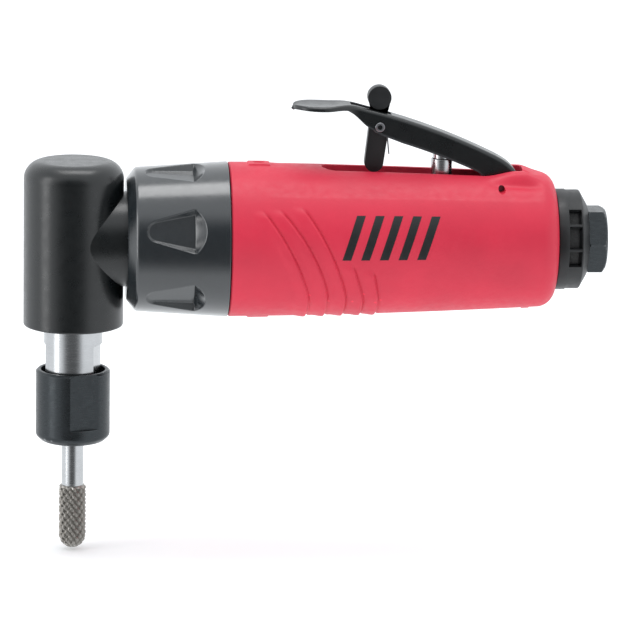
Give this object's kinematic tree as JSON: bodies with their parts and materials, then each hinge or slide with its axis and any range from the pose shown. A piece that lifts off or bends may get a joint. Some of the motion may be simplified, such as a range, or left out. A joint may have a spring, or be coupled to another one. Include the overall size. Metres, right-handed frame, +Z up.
{
  "type": "die grinder",
  "caption": "Compact right-angle pneumatic die grinder with a lock-off throttle lever, rear exhaust deflector, collet and carbide burr.",
  "frame": {"origin": "centre of the air inlet's mouth, on the motor axis", "axes": "+X along the motor axis, out of the air inlet; -X is the head end; +Z up through the throttle lever; the spindle and burr point along -Z"},
  "size_m": [0.1694, 0.0452, 0.1376],
  "materials": {
    "black_enamel": "satin black enamel on aluminium",
    "black_gloss": "moulded black composite with a soft gloss",
    "red_composite": "fine pebbled red composite",
    "cast_aluminium": "machined aluminium",
    "black_plastic": "matte black moulding",
    "black_oxide": "oil-blackened steel",
    "bright_steel": "ground bright steel",
    "dark_steel": "hardened and ground steel",
    "carbide": "ground tungsten carbide, cross-cut",
    "brass": "turned brass",
    "rubber": "black nitrile",
    "felt": "oil-darkened pressed felt",
    "phenolic": "laminated phenolic",
    "mesh": "fine perforated brass"
  },
  "bodies": {
    "root": {"angle_head": "black_enamel", "coupling_ring": "black_gloss", "grip_housing": "red_composite", "motor_housing": "cast_aluminium", "inlet_bushing": "black_oxide", "inlet_screen": "mesh", "inlet_o_ring": "rubber", "deflector_o_ring": "rubber", "muffler_felt": "felt", "lever_pivot_pin": "black_oxide", "plunger_guide": "bright_steel", "valve_seat": "brass", "valve_spring": "dark_steel", "valve_cap": "brass", "rear_end_plate": "dark_steel", "rear_rotor_bearing": "bright_steel", "motor_cylinder": "dark_steel", "cylinder_dowel": "bright_steel", "front_end_plate": "dark_steel", "front_rotor_bearing": "bright_steel", "motor_wave_washer": "dark_steel", "pinion_bearing": "bright_steel", "pinion_snap_ring": "dark_steel", "upper_spindle_bearing": "bright_steel", "lower_spindle_bearing": "bright_steel", "bearing_retainer": "black_oxide", "spindle_felt_seal": "felt"},
    "throttle": {"throttle_lever": "black_enamel", "lock_pin": "black_oxide"},
    "lock": {"lock_lever": "black_plastic", "lock_spring": "dark_steel"},
    "valve": {"valve_plunger": "bright_steel", "plunger_o_ring": "rubber", "valve_disc": "rubber"},
    "deflector": {"exhaust_deflector": "black_plastic"},
    "motor_rotor": {"rotor": "dark_steel", "rotor_blades": "phenolic", "bevel_pinion": "dark_steel"},
    "output_spindle": {"spindle": "bright_steel", "bevel_gear": "dark_steel", "collet": "dark_steel", "collet_nut": "black_oxide", "burr_shank": "bright_steel", "burr_head": "carbide"}
  },
  "joints": [
    {"name": "throttle_press", "type": "hinge", "parent": "root", "child": "throttle", "pos_m": [-0.0317, 0, 0.0166], "axis": [0, -1, 0], "range_deg": [0, 10], "stiffness_Nm_per_rad": 0.4, "springref_deg": -8.59},
    {"name": "lock_fold", "type": "hinge", "parent": "throttle", "child": "lock", "pos_m": [-0.06675, 0, 0.0337], "axis": [0, -1, 0], "range_deg": [0, 35]},
    {"name": "valve_travel", "type": "slide", "parent": "root", "child": "valve", "axis": [0, 0, -1], "range_m": [0, 0.00364], "deforming": ["valve_spring"]},
    {"name": "deflector_turn", "type": "hinge", "parent": "root", "child": "deflector", "pos_m": [-0.0101, 0, 0], "axis": [1, 0, 0], "continuous": true},
    {"name": "spindle_spin", "type": "hinge", "parent": "root", "child": "output_spindle", "pos_m": [-0.1549, 0, 0], "axis": [0, 0, 1], "continuous": true},
    {"name": "rotor_spin", "type": "hinge", "parent": "root", "child": "motor_rotor", "pos_m": [-0.08, 0, 0], "axis": [1, 0, 0], "continuous": true}
  ],
  "couplings": [
    {"joint": "lock_fold", "follows": "throttle_press", "ratio": 3.5},
    {"joint": "valve_travel", "follows": "throttle_press", "m_per_rad": 0.0208},
    {"joint": "rotor_spin", "follows": "spindle_spin", "ratio": 1.3846}
  ]
}
